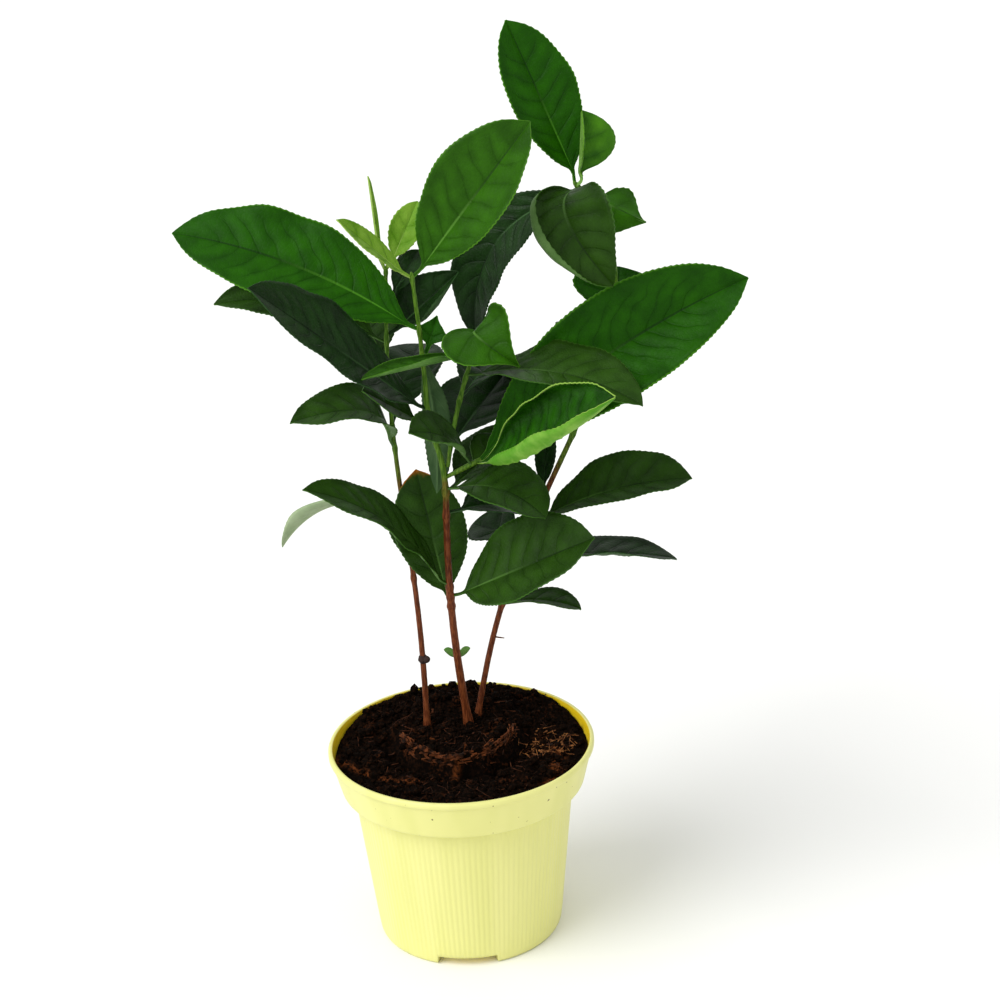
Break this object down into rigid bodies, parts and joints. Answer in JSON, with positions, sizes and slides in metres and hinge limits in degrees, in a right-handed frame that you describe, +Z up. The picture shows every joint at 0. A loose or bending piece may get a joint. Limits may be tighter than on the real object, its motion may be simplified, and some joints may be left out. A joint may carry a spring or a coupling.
{
  "type": "potted tea bush",
  "caption": "Young tea bush with slender leaning stems and glossy toothed leaves, growing in a round ribbed nursery pot full of soil.",
  "frame": {"origin": "middle of the pot's flat underside, on the ground", "axes": "+Z up along the pot, -Y the side the reference view is taken from, +X to that view's right"},
  "size_m": [0.2425, 0.1653, 0.4048],
  "materials": {
    "pot": "satin pale yellow moulded plastic",
    "soil": "dark crumbly peat",
    "stem": "thin red-brown bark",
    "leaf": "glossy green leaf"
  },
  "bodies": {
    "root": {"pot": "pot", "soil": "soil", "stem_left": "stem", "stem_centre": "stem", "stem_right": "stem", "stem_shoot": "stem", "stem_twig": "stem", "leaf_low_left": "leaf", "leaf_low_back": "leaf", "leaf_low_front": "leaf", "leaf_left_low": "leaf", "leaf_right_small": "leaf", "leaf_right_edge": "leaf", "leaf_right_inner": "leaf", "leaf_mid_right": "leaf", "leaf_mid_under": "leaf", "leaf_right_mid": "leaf", "leaf_right_narrow": "leaf", "leaf_left_arched": "leaf", "leaf_under_left": "leaf", "leaf_front_fold": "leaf", "leaf_twig_strip": "leaf", "leaf_cupped": "leaf", "leaf_right_big": "leaf", "leaf_shoot_dark": "leaf", "leaf_back_dark": "leaf", "leaf_grey_left": "leaf", "leaf_bright_left": "leaf", "leaf_left_hidden": "leaf", "leaf_back_pointed": "leaf", "leaf_back_crumpled": "leaf", "leaf_left_grey": "leaf", "leaf_shoot_level": "leaf", "leaf_shoot_sweep": "leaf", "leaf_shoot_down": "leaf", "leaf_right_behind": "leaf", "leaf_left_young": "leaf", "leaf_left_bud": "leaf", "leaf_top_sliver": "leaf", "leaf_top_front": "leaf", "leaf_right_hang": "leaf", "leaf_right_arch": "leaf", "leaf_right_glossy": "leaf", "leaf_right_young": "leaf", "leaf_right_top": "leaf", "leaf_rear_low": "leaf", "leaf_rear_left_low": "leaf", "leaf_rear_left_high": "leaf", "leaf_rear_centre": "leaf", "leaf_rear_middle": "leaf", "leaf_rear_right_low": "leaf", "leaf_rear_right_high": "leaf"}
  },
  "joints": []
}
